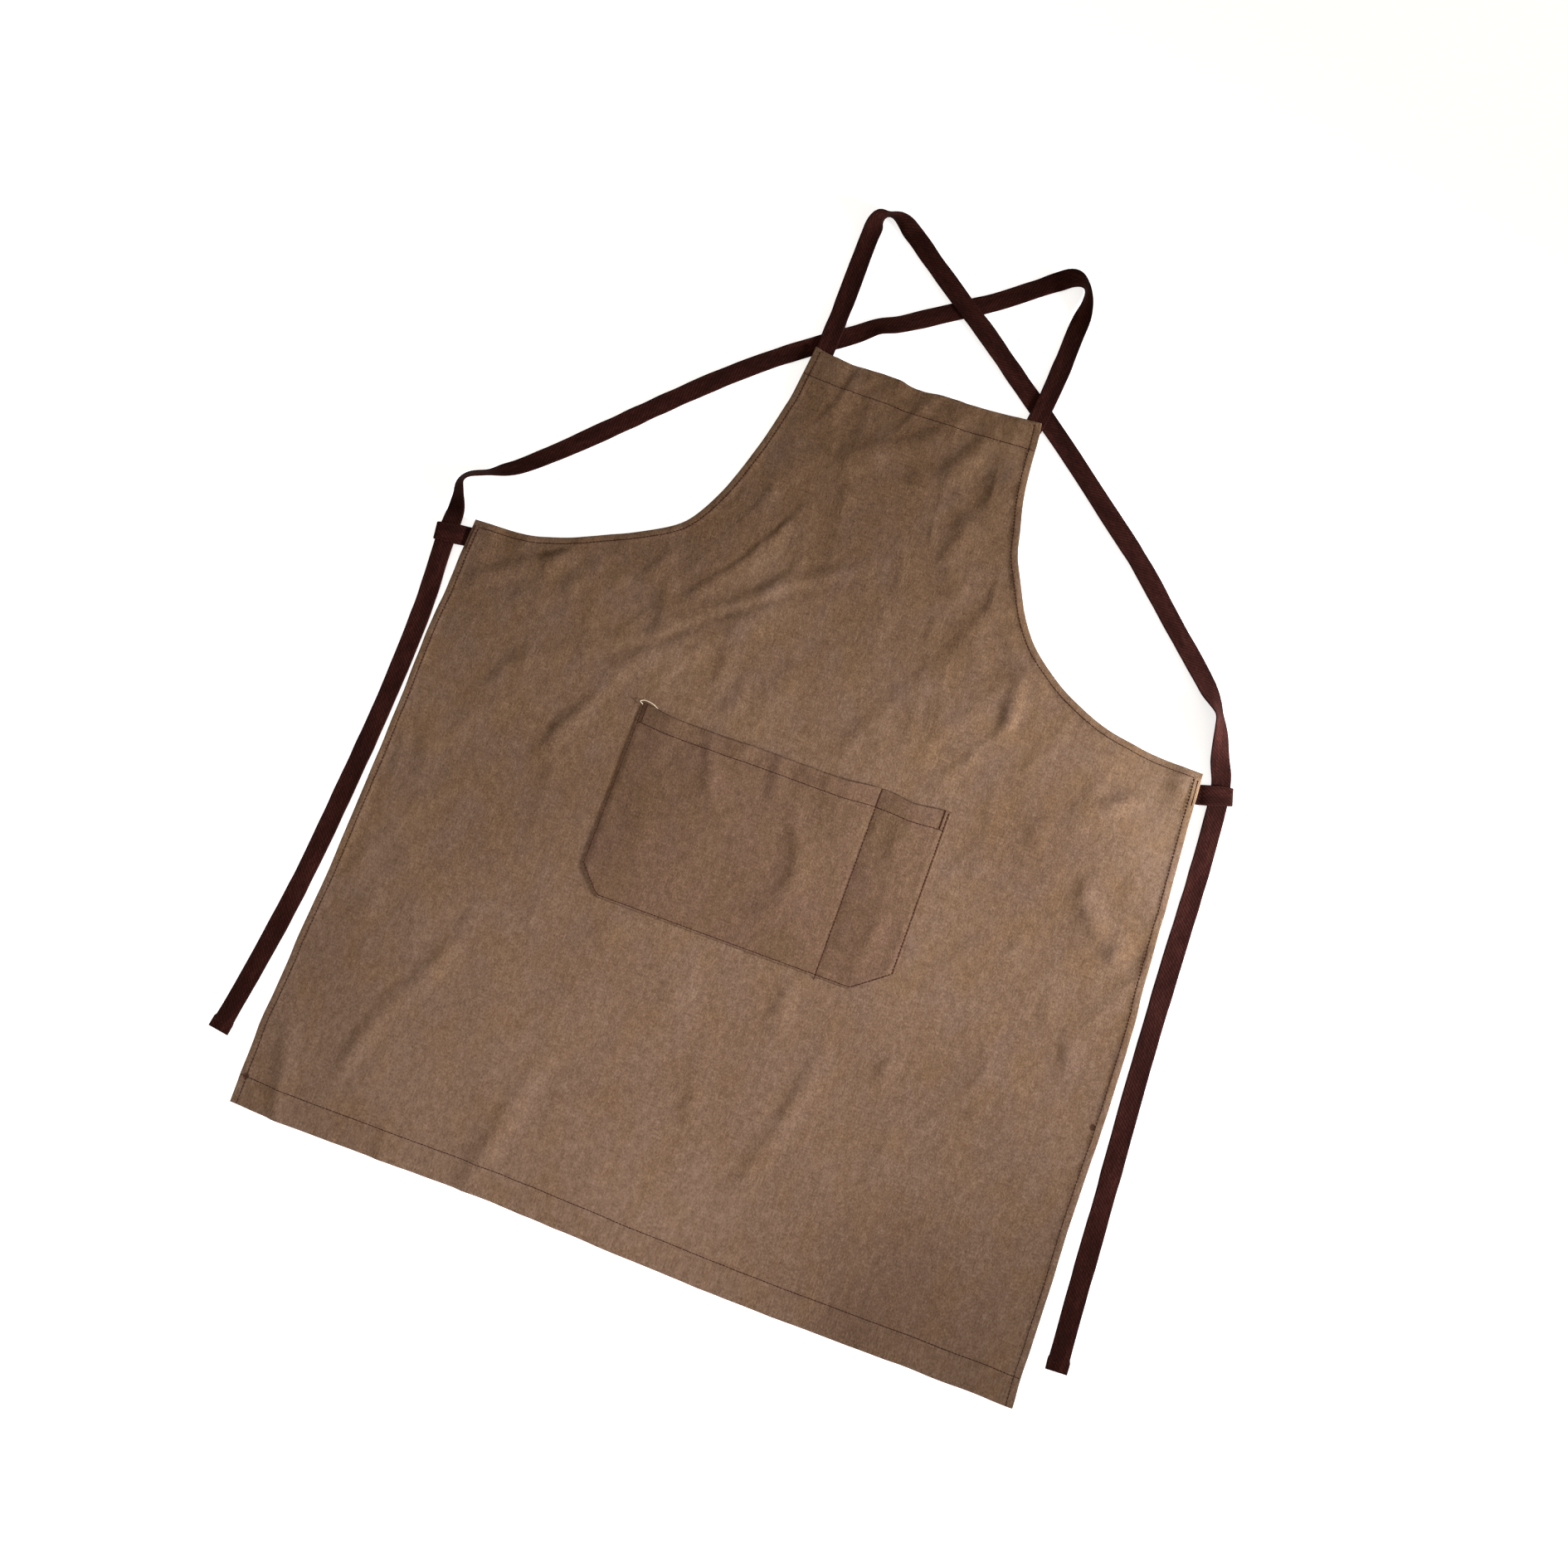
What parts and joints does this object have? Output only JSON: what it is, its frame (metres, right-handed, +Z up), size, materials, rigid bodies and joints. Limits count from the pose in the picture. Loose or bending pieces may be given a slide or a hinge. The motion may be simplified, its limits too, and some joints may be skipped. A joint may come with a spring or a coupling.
{
  "type": "long apron",
  "caption": "Canvas bib apron lying flat with a patch pocket, curved armholes and tape straps that cross behind the neck, thread through waist loops and end free.",
  "frame": {"origin": "on the floor, under the middle of the outline that the apron and its straps cover", "axes": "+X is the viewer's right across the apron, +Y runs from the bottom hem to the bib, +Z is up out of the front face"},
  "size_m": [0.8042, 0.9774, 0.0177],
  "materials": {
    "canvas": "brown washed cotton canvas, matt",
    "pocket_canvas": "the same canvas, a little pinker, matt",
    "tape": "very dark brown woven cotton tape, matt"
  },
  "bodies": {
    "root": {"panel": "canvas", "pocket": "pocket_canvas", "strap_left": "tape", "strap_right": "tape", "loop_left": "tape", "loop_right": "tape"}
  },
  "joints": []
}
